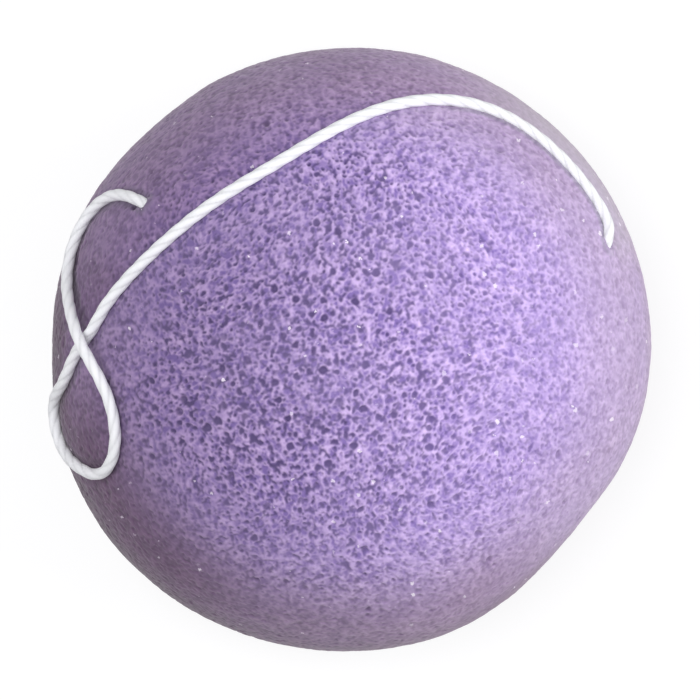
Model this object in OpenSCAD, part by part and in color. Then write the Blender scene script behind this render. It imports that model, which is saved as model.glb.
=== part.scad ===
// Konjac sponge: a moulded half ball of soft konjac that lies on its flat back.
// One cotton cord is threaded through it from side to side. The ends meet inside
// and are tied there in a reef knot, and the rest of the cord lies looped over
// the dome, where it is pulled out to hang the sponge up.
// Millimetres. The origin is the middle of the flat back, and the dome is up, +Z.

/* [Sponge] */
// Width across the widest level
sponge_w = 78; // [60:1:90]
// Height from the flat back to the top of the dome
sponge_h = 43; // [36:1:50]
// Height of the widest level above the flat back
widest_h = 10; // [7:0.5:13]
// How far the edge of the flat back lies inside the widest level
back_inset = 7; // [4:0.5:10]
// Fullness of the dome, where 2 is an ellipse and more is squarer
dome_fullness = 2.1; // [1.9:0.05:2.5]

/* [Cord] */
// Diameter of the cotton cord
cord_d = 1.5; // [1:0.1:2]
// Gap between the cord and the dome that it lies on
lie_gap = 0.3; // [0.2:0.05:0.4]

/* [Channel] */
// Angle by which the channel's mouths lean off the straight line between them
channel_lean = 40; // [30:1:48]
// Gap all round the cord in its channel
channel_gap = 0.1; // [0.05:0.05:0.2]
// Gap all round the cord in the straight run at each mouth, worn a little wider
mouth_gap = 0.25; // [0.22:0.01:0.4]
// Gap all round the knot in its pocket
knot_gap = 0.3; // [0.2:0.1:0.6]
// Width of the dimple round each mouth
dimple_w = 5; // [4:0.5:6]
// Depth of the dimple round each mouth
dimple_deep = 1; // [0.8:0.1:1.4]

/* [Hidden] */

// Sizes that follow from those above
sponge_r = sponge_w / 2;
dome_h = sponge_h - widest_h;
dome_centre = [0, 0, widest_h];
channel_r = cord_d / 2 + channel_gap;
dimple_ball_r = (dimple_w * dimple_w / 4 + dimple_deep * dimple_deep) / (2 * dimple_deep);
cut_past = 2 * cord_d;

// Swells and flats of the soft rim: where it is in degrees from +X, how wide it
// is in degrees, and how far it goes in or out as a share of the radius there
rim_wave_shares = [
    [320, 15, -0.042],
    [222, 22, 0.018],
    [180, 9, -0.014],
    [60, 38, 0.007],
    [131, 11, -0.010]
];

// Directions of the channel's mouths from the dome's centre, in degrees: the turn
// from +X and the climb above the widest level
left_turn_angle = 144.5;
left_climb_angle = 33.5;
right_turn_angle = 22;
right_climb_angle = 24.5;

// Route of the free cord from the left mouth to the right one. Each point gives
// X, Y and the height above the widest level, in millimetres, and is set down on
// the dome straight towards its centre. The last number lifts the cord off the
// dome, in cord diameters: it humps over its own loop and dips into the mouths.
cord_route = [
    [-26, 18.5, 20, -0.4],
    [-27, 19, 19, -0.1],
    [-30, 20, 15, 0],
    [-33, 18, 11.5, 0],
    [-35.5, 14, 10.5, 0],
    [-36, 9.5, 12.5, 0.1],
    [-35.5, 6.5, 16, 0.5],
    [-34.5, 3.5, 19.5, 1.1],
    [-33.5, 0.5, 22, 1.4],
    [-31.5, -3, 23.5, 0.9],
    [-29.5, -6.5, 23, 0.2],
    [-29, -10.5, 22.5, 0],
    [-29.5, -14, 20.5, 0],
    [-31.5, -16, 17.5, 0],
    [-33.5, -15.5, 14.5, 0],
    [-35.5, -14.5, 11.5, 0],
    [-37, -13, 8.5, 0],
    [-38, -10.5, 7, 0],
    [-38.5, -7.5, 7.5, 0],
    [-37.5, -5.5, 10.5, 0],
    [-36, -4, 14, 0],
    [-34.5, 0, 17, 0],
    [-32, 2.5, 20.5, 0],
    [-30.5, 6, 22, 0.1],
    [-24, 13, 26, 0.1],
    [-16.5, 19, 27.5, 0.1],
    [-9, 23, 27.5, 0.1],
    [-2, 27.5, 25.5, 0.1],
    [5.5, 31, 22, 0.1],
    [13.5, 32, 18.5, 0.1],
    [21, 29.5, 16, 0.1],
    [27.5, 24.5, 15.5, 0.1],
    [31.5, 20, 15, 0],
    [33.5, 17, 15, 0],
    [33, 15, 15.5, -0.1],
    [32, 13.5, 15.5, -0.4]
];

// Half of the reef knot, from the left: places along the bowed channel, across
// it and up, as shares of the cord's diameter. The other half is this one turned
// over, end for end.
knot_route_shares = [
    [-6.5, 0, 0],
    [-5, 0.25, -0.15],
    [-3.6, 0.5, -0.45],
    [-2.2, 0.55, -0.8],
    [-1.1, 0.75, -0.2],
    [0, 1.15, 1],
    [1.1, 2, 0.6],
    [2.1, 2.2, -0.4],
    [2.4, 1, -0.9],
    [2.4, -1, -0.9],
    [2.1, -2.2, -0.4],
    [1.1, -2, 0.6],
    [0, -1.15, 1],
    [-1.1, -0.75, -0.2],
    [-2.2, -0.55, -0.8],
    [-3.4, -0.65, -0.5],
    [-4.4, -0.9, -0.4],
    [-5.4, -1.15, -0.3]
];
// Outline of the knot's pocket, as distances along and half widths in diameters
pocket_outline_shares = [[6.5, 1.4], [5, 1.9], [2.9, 2.8]];
// Half of the knot's thickness in diameters
pocket_half_share = 1.35;

// Facets of the soft forms
dome_sides = 60;
dome_rings = 15;
edge_rings = 4;
cord_sides = 8;
steps_per_point = 2;
// Facets of the true round cuts
$fn = 48;

// Small helpers
function unit(v) = v / norm(v);
function total(list, i = 0) = i < len(list) ? list[i] + total(list, i + 1) : 0;
function turn_between(a, b) = ((a - b + 540) % 360) - 180;
function heading(turn, climb) =
    [cos(climb) * cos(turn), cos(climb) * sin(turn), sin(climb)];

// The dome: radius of the rim at an azimuth, and how far the surface lies from
// the dome's centre in a direction
function rim_wave(turn) = 1 + total([for (w = rim_wave_shares)
    w[2] * exp(-pow(turn_between(turn, w[0]) / w[1], 2) / 2)]);
function rim_r(turn) = sponge_r * rim_wave(turn);
function dome_reach(u) =
    let (sideways = norm([u.x, u.y]) / rim_r(atan2(u.y, u.x)), up = max(u.z, 0) / dome_h)
    pow(pow(sideways, dome_fullness) + pow(up, dome_fullness), -1 / dome_fullness);
function dome_normal(u) =
    let (p = u * dome_reach(u), a = rim_r(atan2(u.y, u.x)), r = norm([p.x, p.y]),
        sideways = pow(r / a, dome_fullness - 1) / a,
        up = pow(max(p.z, 0) / dome_h, dome_fullness - 1) / dome_h)
    unit([p.x / r * sideways, p.y / r * sideways, up]);
// The place at a height over the dome, on the line from its centre along u
function over_dome(u, rise) =
    dome_centre + u * (dome_reach(u) + rise / (dome_normal(u) * u));

// Mouths of the channel, and the bowed channel between them. It is an arc with a
// straight run at each mouth.
left_u = heading(left_turn_angle, left_climb_angle);
right_u = heading(right_turn_angle, right_climb_angle);
left_mouth = over_dome(left_u, 0);
right_mouth = over_dome(right_u, 0);
mouth_span = norm(right_mouth - left_mouth);
mouth_run = 4 * cord_d;
along = unit(right_mouth - left_mouth);
across = unit(cross([0, 0, 1], along));
upward = cross(along, across);
left_out = across * sin(channel_lean) - along * cos(channel_lean);
right_out = across * sin(channel_lean) + along * cos(channel_lean);
arc_r = (mouth_span / 2 - mouth_run * cos(channel_lean)) / sin(channel_lean);
bow = arc_r * (1 - cos(channel_lean)) + mouth_run * sin(channel_lean);
knot_centre = (left_mouth + right_mouth) / 2 - across * bow;
arc_centre = knot_centre + across * arc_r;
// A place near the bowed channel: distance along it, offset across and offset up
function by_channel(x, y, z) =
    let (a = x / arc_r * 180 / PI)
    arc_centre + (arc_r - y) * (along * sin(a) - across * cos(a)) + upward * z;

// A smooth curve drawn to a list of points, as a uniform cubic spline. It starts
// at the second point and ends at the last but one where these lie in line.
function spline_at(p, i, t) = (pow(1 - t, 3) * p[i - 1]
    + (3 * pow(t, 3) - 6 * pow(t, 2) + 4) * p[i]
    + (1 + 3 * t + 3 * pow(t, 2) - 3 * pow(t, 3)) * p[i + 1]
    + pow(t, 3) * p[i + 2]) / 6;
function spline(p, steps) = concat(
    [for (i = [1:len(p) - 3], k = [0:steps - 1]) spline_at(p, i, k / steps)],
    [spline_at(p, len(p) - 3, 1)]);
function curve_length(c, i = 1) = i < len(c) ? norm(c[i] - c[i - 1]) + curve_length(c, i + 1) : 0;

// Direction of travel at each place of a curve
function travel(c, i) = unit(c[min(i + 1, len(c) - 1)] - c[max(i - 1, 0)]);
// One ring of the cord: an octagon square to the direction of travel
function ring(centre, t, side) =
    let (s = unit(side - t * (side * t)), u = cross(t, s))
    [for (k = [0:cord_sides - 1]) let (a = 360 * (k + 0.5) / cord_sides)
        centre + cord_d / 2 * (s * cos(a) + u * sin(a))];
// Side directions carried along a curve, so that the tube doesn't twist
function carried(c, s, i = 0) = i < len(c)
    ? let (t = travel(c, i), n = unit(s - t * (s * t))) concat([n], carried(c, n, i + 1)) : [];

// A round cord swept along a curve
module cord_tube(c, first_side) {
    sides = carried(c, first_side);
    last = len(c) - 1;
    points = [for (i = [0:last]) each ring(c[i], travel(c, i), sides[i])];
    walls = [for (i = [0:last - 1], k = [0:cord_sides - 1])
        let (a = i * cord_sides + k, b = i * cord_sides + (k + 1) % cord_sides)
        each [[a, a + cord_sides, b], [b, a + cord_sides, b + cord_sides]]];
    ends = [
        [for (k = [0:cord_sides - 1]) k],
        [for (k = [cord_sides - 1:-1:0]) last * cord_sides + k]
    ];
    polyhedron(points, concat(walls, ends));
}

// Route of each part of the cord. The free cord and each threaded end meet face
// to face in the straight run of a mouth, where the route's points lie in line,
// these many diameters inside.
mouth_step_shares = [0.5, 1.5, 2.5, 3.5];
free_points = concat(
    [for (k = [3:-1:0]) left_mouth - left_out * mouth_step_shares[k] * cord_d],
    [for (p = cord_route)
        over_dome(unit([p.x, p.y, p.z]), cord_d / 2 + lie_gap + p[3] * cord_d)],
    [for (k = [0:3]) right_mouth - right_out * mouth_step_shares[k] * cord_d]);
free_curve = spline(free_points, steps_per_point);
arc_half = arc_r * channel_lean * PI / 180;
knot_start = -knot_route_shares[0].x * cord_d;
arc_steps = 4;
function end_points(mouth, out, hand) = concat(
    [for (k = [1:3]) mouth - out * mouth_step_shares[k] * cord_d],
    [for (k = [0:arc_steps - 1])
        by_channel(hand * (arc_half - (arc_half - knot_start) * k / arc_steps), 0, 0)],
    [for (p = knot_route_shares)
        by_channel(-hand * p.x * cord_d, p.y * cord_d, -hand * p.z * cord_d)]);
left_curve = spline(end_points(left_mouth, left_out, -1), steps_per_point);
right_curve = spline(end_points(right_mouth, right_out, 1), steps_per_point);

// Puts what is drawn in the channel's plane, X along it and Y across, in place
module in_channel_plane(at) {
    multmatrix([
        [along.x, across.x, upward.x, at.x],
        [along.y, across.y, upward.y, at.y],
        [along.z, across.z, upward.z, at.z],
        [0, 0, 0, 1]
    ]) children();
}

// One quarter turn of the sponge's profile below the widest level, and one above
function edge_place(t) = [-back_inset * (1 - cos(t)), widest_h * (1 - sin(t))];
function dome_place(t) =
    [pow(cos(t), 2 / dome_fullness), widest_h + dome_h * pow(sin(t), 2 / dome_fullness)];
// Rings of the solid from under the flat back to just below the top
sponge_rings = concat(
    [[-back_inset, -cut_past, 1]],
    [for (k = [edge_rings:-1:1])
        let (e = edge_place(90 * k / edge_rings)) [e[0], e[1], 1]],
    [for (k = [0:dome_rings - 1])
        let (d = dome_place(90 * k / dome_rings)) [0, d[1], d[0]]]);

// The half ball before anything is cut from it
module half_ball() {
    rings = len(sponge_rings);
    points = concat(
        [for (g = sponge_rings, k = [0:dome_sides - 1])
            let (a = 360 * k / dome_sides, r = rim_r(a) * g[2] + g[0])
            [r * cos(a), r * sin(a), g[1]]],
        [[0, 0, sponge_h]]);
    walls = [for (i = [0:rings - 2], k = [0:dome_sides - 1])
        let (a = i * dome_sides + k, b = i * dome_sides + (k + 1) % dome_sides)
        each [[a, a + dome_sides, b], [b, a + dome_sides, b + dome_sides]]];
    last = (rings - 1) * dome_sides;
    top = [for (k = [0:dome_sides - 1])
        [last + k, last + dome_sides, last + (k + 1) % dome_sides]];
    bottom = [[for (k = [0:dome_sides - 1]) k]];
    polyhedron(points, concat(walls, top, bottom));
}

// Everything below the flat back, cut away to leave one true flat
module below_back() {
    translate([-sponge_w, -sponge_w, -2 * cut_past])
        cube([2 * sponge_w, 2 * sponge_w, 2 * cut_past]);
}

// The channel: an arc of round bore, and a straight bore out of each mouth
module channel() {
    in_channel_plane(arc_centre)
        rotate([0, 0, -90 - channel_lean])
            rotate_extrude(angle = 2 * channel_lean)
                translate([arc_r, 0])
                    circle(channel_r);
    for (side = [[left_mouth, left_out], [right_mouth, right_out]])
        straight_bore(side[0], side[1]);
}

// A straight bore from just inside the end of the arc, out through the mouth
module straight_bore(mouth, out) {
    depth = mouth_run + cord_d / 4;
    translate(mouth - out * depth)
        rotate([0, acos(out.z), atan2(out.y, out.x)])
            cylinder(r = cord_d / 2 + mouth_gap, h = depth + cut_past);
}

// The dimple that the cord draws into the soft skin at a mouth
module dimple(mouth, u) {
    translate(mouth + dome_normal(u) * (dimple_ball_r - dimple_deep))
        sphere(dimple_ball_r);
}

// The pocket that the knot sits in, a flat slot that follows its outline
module knot_pocket() {
    half = [for (p = pocket_outline_shares) [p.x * cord_d + knot_gap, p.y * cord_d + knot_gap]];
    back = [for (k = [len(half) - 1:-1:0]) half[k]];
    outline = concat(
        [for (p = half) [-p.x, p.y]],
        [for (p = back) [p.x, p.y]],
        [for (p = half) [p.x, -p.y]],
        [for (p = back) [-p.x, -p.y]]);
    in_channel_plane(knot_centre)
        linear_extrude(height = 2 * (pocket_half_share * cord_d + knot_gap), center = true)
            polygon(outline);
}

module sponge_body() {
    color("mediumpurple")
        difference() {
            half_ball();
            below_back();
            channel();
            knot_pocket();
            dimple(left_mouth, left_u);
            dimple(right_mouth, right_u);
        }
}

module hanging_cord() {
    color("white")
        cord_tube(free_curve, upward);
}

module left_cord_end() {
    color("whitesmoke")
        cord_tube(left_curve, upward);
}

module right_cord_end() {
    color("gainsboro")
        cord_tube(right_curve, upward);
}

// Printed for whoever changes the cord: its lengths from mouth to mouth and inside
echo(free_cord = curve_length(free_curve), left_end = curve_length(left_curve),
    right_end = curve_length(right_curve));

sponge_body();
hanging_cord();
left_cord_end();
right_cord_end();
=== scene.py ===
# Konjac sponge: the looks. A porous lilac half ball lies on its flat back, and the
# twisted cotton cord that is threaded through it lies looped over the dome.
# Metres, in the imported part's own frame: the flat back is z = 0 and the dome is up.

import itertools
import math
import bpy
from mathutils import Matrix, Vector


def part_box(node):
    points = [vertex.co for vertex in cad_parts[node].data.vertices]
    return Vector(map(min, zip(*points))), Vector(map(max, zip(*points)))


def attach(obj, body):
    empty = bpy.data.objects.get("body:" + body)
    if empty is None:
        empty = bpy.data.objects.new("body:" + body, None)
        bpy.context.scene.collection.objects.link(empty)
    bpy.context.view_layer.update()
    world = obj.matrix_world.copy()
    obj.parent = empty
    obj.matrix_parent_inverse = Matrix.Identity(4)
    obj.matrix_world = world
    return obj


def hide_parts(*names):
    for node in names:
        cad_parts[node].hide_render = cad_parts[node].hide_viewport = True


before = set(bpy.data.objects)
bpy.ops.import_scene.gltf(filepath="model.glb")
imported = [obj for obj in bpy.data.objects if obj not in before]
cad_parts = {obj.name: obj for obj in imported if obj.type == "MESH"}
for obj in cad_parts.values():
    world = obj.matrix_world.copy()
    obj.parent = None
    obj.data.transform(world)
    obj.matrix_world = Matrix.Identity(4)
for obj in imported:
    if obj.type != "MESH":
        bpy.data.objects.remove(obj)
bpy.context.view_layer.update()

from types import SimpleNamespace

import bpy
import numpy as np

MM = 0.001

# Sizes of the sponge, as in the part's source

_, sponge_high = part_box("sponge_body")
SPONGE_R = 39 * MM
WIDEST_H = 10 * MM
BACK_INSET = 7 * MM
DOME_FULLNESS = 2.1
DOME_H = sponge_high[2] - WIDEST_H
DOME_CENTRE = np.array([0.0, 0.0, WIDEST_H])
# Swells and flats of the soft rim: azimuth and half width in degrees, and share
RIM_WAVE_SHARES = [(320, 15, -0.042), (222, 22, 0.018), (180, 9, -0.014),
                   (60, 38, 0.007), (131, 11, -0.010)]
LEFT_TURN, LEFT_CLIMB = 144.5, 33.5
RIGHT_TURN, RIGHT_CLIMB = 22, 24.5
CHANNEL_LEAN = math.radians(40)
DIMPLE_W = 5 * MM
DIMPLE_DEEP = 1 * MM

# Forms that the scene gives the skin

# The dimple lies just outside the mouth, and the skin's lip over the cord just inside.
# The power makes both forms narrower.
DIMPLE_STEP = 1.4 * MM
LIP_STEP = 0.4 * MM
LIP_RISE = 0.65 * MM
DIMPLE_POWER = 1.5
# Where the cord's middle lies deeper than this, the skin has closed over it
CLOSED_AT = -0.5 * MM
# The left mouth gapes a little on one side of the cord, and the gap is painted dark as shade
GAP_TURN, GAP_CLIMB = 146.5, 30.75
GAP_R = 0.55 * MM
GAP_FLOOR_R = 0.4 * GAP_R
GAP_DEEP = 0.8 * MM
# Slow swells of the moulded form: height, width of a swell and seed
SWELLS = [(0.12 * MM, 9 * MM, 11), (0.05 * MM, 3 * MM, 12)]
# The swells begin above the flat back and are full from this height
SWELLS_FULL_H = 2 * MM
# The groove is this much narrower than the cord, so that the two touch
GROOVE_BITE = 0.01 * MM
# How far from the cord's middle the skin still gives way, how deep it does, and the
# distances from a mouth over which that hollow begins
HOLLOW_REACH = 2 * MM
HOLLOW_DEEP = 0.2 * MM
HOLLOW_FROM_MOUTH = (1 * MM, 3 * MM)

# Sizes of the cord

CORD_D = 1.5 * MM
# How far the cord presses into the soft surface that it lies on
CORD_SINK = 0.2 * MM
PLIES = 3
# Length along the cord in which a ply goes once round
LAY_LENGTH = 8 * MM
PLY_R = 0.62 * MM
PLY_OFFSET = CORD_D / 2 - PLY_R
PLY_SIDES = 14
RING_STEP = 0.2 * MM
SPLINE_STEPS = 24
# Unevenness of a ply: lengths of its waves, their least and greatest strength, the
# latest start, and how much they turn the ply, both in radians, and thicken it
WOBBLE_WAVES = (2.1 * MM, 3.7 * MM, 0.9 * MM)
WOBBLE_STRENGTHS = (0.3, 1)
WOBBLE_START = 6.3
WOBBLE_TURN = 0.12
WOBBLE_SHARE = 0.035

# The free cord's route, as in the part's source: X, Y and height above the widest
# level, and how many cord diameters it is lifted off the dome
CORD_ROUTE = [
    (-0.0260, 0.0185, 0.0200, -0.4),
    (-0.0270, 0.0190, 0.0190, -0.1),
    (-0.0300, 0.0200, 0.0150, 0.0),
    (-0.0330, 0.0180, 0.0115, 0.0),
    (-0.0355, 0.0140, 0.0105, 0.0),
    (-0.0360, 0.0095, 0.0125, 0.1),
    (-0.0355, 0.0065, 0.0160, 0.5),
    (-0.0345, 0.0035, 0.0195, 1.1),
    (-0.0335, 0.0005, 0.0220, 1.4),
    (-0.0315, -0.0030, 0.0235, 0.9),
    (-0.0295, -0.0065, 0.0230, 0.2),
    (-0.0290, -0.0105, 0.0225, 0.0),
    (-0.0295, -0.0140, 0.0205, 0.0),
    (-0.0315, -0.0160, 0.0175, 0.0),
    (-0.0335, -0.0155, 0.0145, 0.0),
    (-0.0355, -0.0145, 0.0115, 0.0),
    (-0.0370, -0.0130, 0.0085, 0.0),
    (-0.0380, -0.0105, 0.0070, 0.0),
    (-0.0385, -0.0075, 0.0075, 0.0),
    (-0.0375, -0.0055, 0.0105, 0.0),
    (-0.0360, -0.0040, 0.0140, 0.0),
    (-0.0345, 0.0000, 0.0170, 0.0),
    (-0.0320, 0.0025, 0.0205, 0.0),
    (-0.0305, 0.0060, 0.0220, 0.1),
    (-0.0240, 0.0130, 0.0260, 0.1),
    (-0.0165, 0.0190, 0.0275, 0.1),
    (-0.0090, 0.0230, 0.0275, 0.1),
    (-0.0020, 0.0275, 0.0255, 0.1),
    (0.0055, 0.0310, 0.0220, 0.1),
    (0.0135, 0.0320, 0.0185, 0.1),
    (0.0210, 0.0295, 0.0160, 0.1),
    (0.0275, 0.0245, 0.0155, 0.1),
    (0.0315, 0.0200, 0.0150, 0.0),
    (0.0335, 0.0170, 0.0150, 0.0),
    (0.0330, 0.0150, 0.0155, -0.1),
    (0.0320, 0.0135, 0.0155, -0.4),
]
# Half of the reef knot inside, from the left: places along the channel, across it
# and up, in cord diameters
KNOT_ROUTE_SHARES = [
    (-6.5, 0, 0), (-5, 0.25, -0.15), (-3.6, 0.5, -0.45), (-2.2, 0.55, -0.8),
    (-1.1, 0.75, -0.2), (0, 1.15, 1), (1.1, 2, 0.6), (2.1, 2.2, -0.4), (2.4, 1, -0.9),
    (2.4, -1, -0.9), (2.1, -2.2, -0.4), (1.1, -2, 0.6), (0, -1.15, 1), (-1.1, -0.75, -0.2),
    (-2.2, -0.55, -0.8), (-3.4, -0.65, -0.5), (-4.4, -0.9, -0.4), (-5.4, -1.15, -0.3),
]
# How deep in a mouth the cord's points lie, and how far in its straight stretch reaches,
# in cord diameters
MOUTH_STEP_SHARES = [0.5, 1.5, 2.5, 3.5]
MOUTH_RUN_SHARE = 4
# Points of a threaded end on the arc between its mouth and the knot
ARC_STEPS = 4
# Shares of the free cord's length: the loop's inner side, and the strand after it
LOOP_SIDE = (0.215, 0.31)
STRAND = (0.49, 0.97)

# Lattice of the skin

SKIN_CELLS = 360
# Degrees of the lattice's 180 that the lower edge and the flat back take
EDGE_DEGREES = 15
BACK_DEGREES = 40
# Places on the profile at which its length is measured
PROFILE_STEPS = 400
# Free margin of each side's square in the map
MAP_MARGIN = 0.01
# The table that smooth noise is read from, and a shift that keeps its places positive
NOISE_TABLE = 64
NOISE_SHIFT = 500

# Zones of the skin. A smooth step goes from the first value of a pair to the second.
# Sectors are azimuths in degrees, as a step in and a step out. Shares go from the
# middle to the rim.

# Towards the rim the pores grow finer, except on the flat back, below this height
RIMWARD_SHARES = (0.5, 0.98)
RIMWARD_LEAST_H = 1 * MM
# The skin outside the cord's long strand, by its distance and its sector. Its colour
# there is darkened with painted shade, where the dome turns away from the light.
HELD_BEYOND = (-0.4 * MM, 1.2 * MM)
HELD_SECTOR = ((30, 85), (222, 200))
# How strong the tones still are at the flat back, below which height the skin counts as
# the back, and how the tones fade out on it
BACK_TONE = 0.4
BACK_SKIN_H = 0.3 * MM
BACK_SHARES = (0.4, 1)
# Painted shade along the rim: along the bottom of the photograph, where it is darkest
# at the left, then at the top, at the left, and as painted cord shadow between the two strands
RIM_SHADE_SECTOR = ((184, 202), (325, 300))
RIM_SHADE_SHARES = (0.68, 0.93)
RIM_SHADE_LEAST = 0.55
RIM_SHADE_DARKEST = (255, 228)
TOP_SHADE = 0.26
TOP_SECTOR = ((25, 50), (110, 90))
LEFT_SECTOR = ((140, 175), (220, 195))
LEFT_SHARES = (0.88, 0.95)
BETWEEN_SHADE = 0.42
BETWEEN_SECTOR = ((156, 165), (184, 174))
# The last strip along the rim, greyer as painted sheen where the rim is seen at a grazing
# angle, and its shaded part, painted shade
EDGE_SHARES = (0.96, 1)
SHADED_SECTOR = ((150, 185), (330, 300))
SHADED_SHARES = (0.925, 0.985)
SHADED_LEAST = 0.75
SHADED_DARKEST = (260, 235)
# The greyer strip of skin between the cord and the rim, by the right mouth
STRIP_SECTOR = ((14, 28), (72, 48))
STRIP_HEIGHTS = (11 * MM, 18 * MM)
# At the right, the skin inside the strand rises beside the cord, with a dark band of painted
# cord shadow
INNER_SECTOR = (75, 60)
SHADOW_BAND_REACH = (1.1 * MM, 1.8 * MM)
SHADOW_BAND_FROM_MOUTH = (0.6 * MM, 1.6 * MM)
# How strong the painted shade beside the cord is where the skin isn't held
CORD_SHADE_LEAST = 0.3

# Pores

SKIN_SEED = 7
# Pores are longer than wide where the skin is steep, as the moulded skin stretches them
PORE_STRETCH = 2
# How far the pores' outlines wander, over what width, and the seeds of X, Y and Z
WARP = 0.16 * MM
WARP_CELL = 0.45 * MM
WARP_SEEDS = (21, 22, 23)
# Pits of falling size: least and largest radius, and how many are tried. Then the wall
# kept between two pits, and their least and largest depth as a share of the radius.
BIG_PITS = [(0.42 * MM, 0.62 * MM, 300), (0.3 * MM, 0.42 * MM, 1000)]
BIG_WALL = 0.13 * MM
BIG_DEPTHS = (0.3, 1.0)
SMALL_PITS = [(0.2 * MM, 0.3 * MM, 12000), (0.14 * MM, 0.2 * MM, 24000)]
SMALL_WALL = 0.1 * MM
SMALL_DEPTHS = (0.6, 1.5)
# Where large pits are: round the top and a few elsewhere, in patches, and hardly at the
# rim or on held skin
COARSE_R = 14.5 * MM
COARSE_LEAST = 0.05
PATCH_CELL = 7 * MM
PATCH_SEED = 31
PATCH_LEAST = 0.3
PATCH_STEP = (-0.5, 0.6)
BIG_RIM_LOSS = 0.97
BIG_HELD_LOSS = 0.6
SMALL_RIM_LOSS = 0.4
# A pit's form: how much it may be squeezed along a random way, its least dark tone and
# the power of its bowl. Then, in shares of its radius, where its dark floor fades in, and
# where its lip rises, ends and falls.
PIT_SQUEEZE = 1.6
PIT_LEAST_TONE = 0.3
PIT_POWER = 3
DARK_SHARES = (1.0, 0.7)
LIP_RISING = (0.9, 1.08)
LIP_REACH = 1.45
LIP_FALLING = (LIP_REACH, 1.15)
LIP_HEIGHT = 0.03 * MM
# The lip shows only where the skin isn't dark
LIP_DARK = (0, 0.3)
# Small dark marks from noise, like the finest pores
MARK_CELL = 0.36 * MM
MARK_SEED = 44
MARK_STEP = (0.25, 0.5)
MARK_FROM_MOUTH = (0.8 * MM, 2 * MM)
MARK_DARK = 0.75
MARK_DEEP = 0.2 * MM
# The net of thin walls: width of its cells, seed, how sharp a wall is and how strong
NETS = [(0.6 * MM, 41, 3, 1), (1.1 * MM, 42, 4.5, 0.9)]
NET_DEEP = 0.18 * MM
NET_TONE_CELL = 0.8 * MM
NET_TONE_SEED = 43
NET_TONE_SHARE = 0.3
# How much of the skin's light tone comes from the walls, and how strong the rest is
WALL_SHARE = 0.75
WALL_TONE = 0.8
# Small pores and marks grow weaker towards the rim, and so does the net
RIM_FADE = 0.45
NET_RIM_FADE = 0.4
# Pores are faint where the cord presses them flat, by the depth of its groove
CALM = 0.8
CALM_DEPTHS = (-0.1 * MM, 0.1 * MM)
# The skin is smoother towards the right
SMOOTHER = 0.37
SMOOTHER_X = (-0.1 * SPONGE_R, 0.65 * SPONGE_R)
# Strength of the dark floors, and of the walls: everywhere, more at the top, less at the rim
DARK_GAIN = 1.3
WALL_GAIN = 1.55
WALL_TOP_GAIN = 0.25
WALL_RIM_LOSS = 0.55
WALL_TOP_R = 15 * MM

# Shaders. Colours are linear, scales are cells in a metre, and a pair is the range of a
# smooth step.

COTTON_SCALE = 900.0
COTTON_STEP = (0.35, 0.7)
HAIR_SCALE = 6000.0
HAIR_SHARE = 0.6
GRAIN_SCALE = 1600.0
GRAIN_STEP = (0.36, 0.64)
# The fine grain's share of the walls' tone
GRAIN_SHARE = 0.25
# Slow cloudy tones over all of the skin
SLOW_SCALE = 110.0
SLOW_STEP = (0.35, 0.65)
RIM_COLOUR_STEP = (0.1, 1.0)
# Painted light falloff: the skin is paler from the first X to the second, darker where less
# light reaches it at the left
LIT_SIDE_X = (-0.8 * SPONGE_R, 0.5 * SPONGE_R)
# Painted glints, small pale specks of painted highlight: cells, how far and how finely their
# outlines wander, which chance gives a speck of which radius, and how much smaller and larger
# they are at the left and right.
# Radii and the soft edge are in shares of a cell.
SPECK_SCALE = 600.0
SPECK_WARP = 0.6 * MM
SPECK_WARP_SCALE = 3000.0
SPECK_CHANCES = (0.2, 1.0)
SPECK_RADII = (0.0, 0.16)
SPECK_SIDES = (0.85, 1.35)
SPECK_EDGE = 0.04
SPECK_SHARE = 0.9

COTTON_DIM = (0.94, 0.95, 0.965, 1)
COTTON_BRIGHT = (0.985, 0.99, 1.0, 1)
# Dim and bright walls and dark pores, over the top and along the rim. The pores' dark is
# partly the sponge's darker inside and partly painted shade in the pits, and the walls'
# light is partly painted light on the raised walls. Along the rim the tones are greyer,
# painted sheen where the rim is seen at a grazing angle.
BULK_DIM = (0.255, 0.165, 0.5, 1)
BULK_BRIGHT = (0.785, 0.59, 1.0, 1)
BULK_PORE = (0.1, 0.06, 0.22, 1)
RIM_DIM = (0.32, 0.225, 0.405, 1)
RIM_BRIGHT = (0.755, 0.595, 0.88, 1)
RIM_PORE = (0.17, 0.105, 0.22, 1)
SLOW_TONE = (0.42, 0.32, 0.62, 1)
STRIP_TONE = (0.6, 0.56, 0.6, 1)
# Painted glints
GLINT_TONE = (0.9, 0.82, 0.92, 1)
# Painted shade on the skin outside the cord's strand
HELD_SHADE_TINT = (0.86, 0.8, 0.86, 1)
# Painted shade along the rim and between the strands
RIM_SHADE_TINT = (0.42, 0.29, 0.37, 1)
# Painted shade beside the cord
CORD_SHADE_TINT = (0.64, 0.74, 0.64, 1)
# Painted sheen on the last strip along the rim, and painted shade on its shaded part
EDGE_SHEEN_TINT = (0.94, 0.97, 0.88, 1)
SHADED_TINT = (0.58, 0.51, 0.55, 1)
# Painted light falloff, from the darker left to the paler right
SHADED_SIDE_TINT = (0.49, 0.45, 0.485, 1)
LIT_SIDE_TINT = (1.0, 1.0, 0.97, 1)
SLOW_SHARE = 0.2
STRIP_SHARE = 0.5
WHITE = (1, 1, 1, 1)
FLOOR_GREY = (0.25, 0.25, 0.25, 1)
# The soft light is very slightly cool
COOL = (0.97, 0.97, 1.0)

# Floor, world and lamps

FLOOR_HALF = 3.0
FLOOR_GLOW = 0.78
WORLD_STRENGTH = 0.405
LAMP_AIM = (0, 0, 0.02)
# Name, place, width and power in watts
LAMPS = [("key", (0.625, 0.03, 0.27), 0.6, 3.3),
         ("fill", (-0.22, 0.04, 0.57), 0.5, 2.42)]

# Camera: straight above, as in the photograph

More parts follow.
